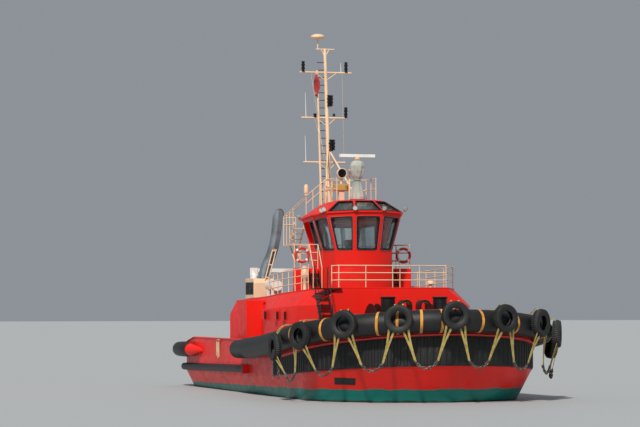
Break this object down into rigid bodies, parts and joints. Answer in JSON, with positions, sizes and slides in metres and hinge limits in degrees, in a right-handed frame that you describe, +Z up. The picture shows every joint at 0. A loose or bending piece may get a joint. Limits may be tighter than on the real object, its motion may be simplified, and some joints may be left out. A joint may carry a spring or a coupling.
{
  "type": "harbour tugboat",
  "caption": "Harbour tug with fendered hull, deckhouse, glazed wheelhouse, mast, towing winch, deck crane and two steerable ducted thrusters.",
  "frame": {"origin": "on the centreline, on the waterline, below the wheelhouse", "axes": "+X forward, +Y to port, +Z up"},
  "size_m": [27.8828, 12.198, 20.37],
  "materials": {
    "hull_paint": "glossy red marine paint, a little chalked",
    "hull_bottom": "matt dark red underwater paint",
    "deck_paint": "matt dark red deck paint",
    "fender_rubber": "matt black rubber",
    "tyre_rubber": "worn black rubber",
    "cream_paint": "satin cream paint",
    "black_paint": "satin black paint",
    "white_paint": "satin white paint",
    "ochre_paint": "satin ochre paint",
    "window_glass": "dark tinted glass",
    "console_plastic": "matt grey moulded panels",
    "seat_leather": "black leather",
    "exhaust_steel": "heat-dulled steel",
    "propeller_bronze": "polished bronze",
    "canvas": "weathered grey canvas",
    "flag_cloth": "red woven cloth"
  },
  "bodies": {
    "boat": {"hull": "hull_paint", "skeg": "hull_bottom", "bulwark": "hull_paint", "bulwark_aft": "hull_paint", "bow_panel": "fender_rubber", "bow_fender": "fender_rubber", "stern_fender": "fender_rubber", "side_fender_port": "fender_rubber", "side_fender_starboard": "fender_rubber", "fender_tyres": "tyre_rubber", "fender_tyres_port": "tyre_rubber", "deckhouse_fore": "hull_paint", "deckhouse_aft": "hull_paint", "deckhouse_top": "deck_paint", "deckhouse_rail": "cream_paint", "deckhouse_rail_aft": "cream_paint", "stair_lower": "black_paint", "stair_upper_starboard": "black_paint", "stair_upper_port": "black_paint", "wheelhouse_base": "hull_paint", "wheelhouse_front": "hull_paint", "wheelhouse_aft": "hull_paint", "door_frame_starboard": "hull_paint", "door_frame_port": "hull_paint", "glass_front": "window_glass", "glass_aft": "window_glass", "wheelhouse_roof": "hull_paint", "glass_roof": "window_glass", "helm_console": "console_plastic", "helm_chair": "seat_leather", "landing_rail": "cream_paint", "roof_rail": "cream_paint", "mast": "cream_paint", "flag": "flag_cloth", "radar_mast": "cream_paint", "radar_cover": "canvas", "searchlight_stand": "ochre_paint", "funnel_casing_port": "cream_paint", "funnel_casing_starboard": "cream_paint", "exhaust_port": "exhaust_steel", "exhaust_starboard": "exhaust_steel", "life_raft": "white_paint", "crane_pedestal": "white_paint", "winch_frame": "black_paint", "towing_bitts": "black_paint", "stern_bitts": "black_paint"},
    "house_door": {"deckhouse_door": "hull_paint"},
    "door_starboard": {"wheelhouse_door_starboard": "hull_paint"},
    "door_port": {"wheelhouse_door_port": "hull_paint"},
    "scanner": {"radar_scanner": "white_paint"},
    "searchlight_head": {"searchlight": "cream_paint"},
    "crane_head": {"crane_head": "white_paint"},
    "crane_arm": {"crane_arm": "white_paint"},
    "winch_drum": {"winch_drum": "black_paint"},
    "thruster_port": {"thruster_port": "hull_bottom"},
    "thruster_starboard": {"thruster_starboard": "hull_bottom"},
    "propeller_port": {"propeller_port": "propeller_bronze"},
    "propeller_starboard": {"propeller_starboard": "propeller_bronze"}
  },
  "joints": [
    {"name": "house_door_hinge", "type": "hinge", "parent": "boat", "child": "house_door", "pos_m": [-9.022, -1.505, 2.24], "axis": [0, 0, 1], "range_deg": [0, 110]},
    {"name": "door_starboard_hinge", "type": "hinge", "parent": "boat", "child": "door_starboard", "pos_m": [-0.045, -1.567, 6.58], "axis": [0, 0, 1], "range_deg": [0, 90]},
    {"name": "door_port_hinge", "type": "hinge", "parent": "boat", "child": "door_port", "pos_m": [-0.045, 1.567, 6.58], "axis": [0, 0, -1], "range_deg": [0, 90]},
    {"name": "scanner_spin", "type": "hinge", "parent": "boat", "child": "scanner", "pos_m": [1, 0, 10.46], "axis": [0, 0, 1], "continuous": true},
    {"name": "searchlight_pan", "type": "hinge", "parent": "boat", "child": "searchlight_head", "pos_m": [-0.5, -0.28, 9.4], "axis": [0, 0, 1], "range_deg": [-170, 170]},
    {"name": "crane_slew", "type": "hinge", "parent": "boat", "child": "crane_head", "pos_m": [-8.4, -2.2, 4.95], "axis": [0, 0, 1], "range_deg": [-60, 240]},
    {"name": "crane_luff", "type": "hinge", "parent": "crane_head", "child": "crane_arm", "pos_m": [-8.4, -2.2, 5.5], "axis": [1, 0, 0], "range_deg": [0, 65]},
    {"name": "winch_turn", "type": "hinge", "parent": "boat", "child": "winch_drum", "pos_m": [7.6, 0, 3], "axis": [0, 1, 0], "continuous": true},
    {"name": "thruster_port_steer", "type": "hinge", "parent": "boat", "child": "thruster_port", "pos_m": [-9.3, 2.3, -1.6], "axis": [0, 0, 1], "continuous": true},
    {"name": "thruster_starboard_steer", "type": "hinge", "parent": "boat", "child": "thruster_starboard", "pos_m": [-9.3, -2.3, -1.6], "axis": [0, 0, 1], "continuous": true},
    {"name": "propeller_port_spin", "type": "hinge", "parent": "thruster_port", "child": "propeller_port", "pos_m": [-9.92, 2.3, -2.85], "axis": [1, 0, 0], "continuous": true},
    {"name": "propeller_starboard_spin", "type": "hinge", "parent": "thruster_starboard", "child": "propeller_starboard", "pos_m": [-9.92, -2.3, -2.85], "axis": [1, 0, 0], "continuous": true}
  ]
}
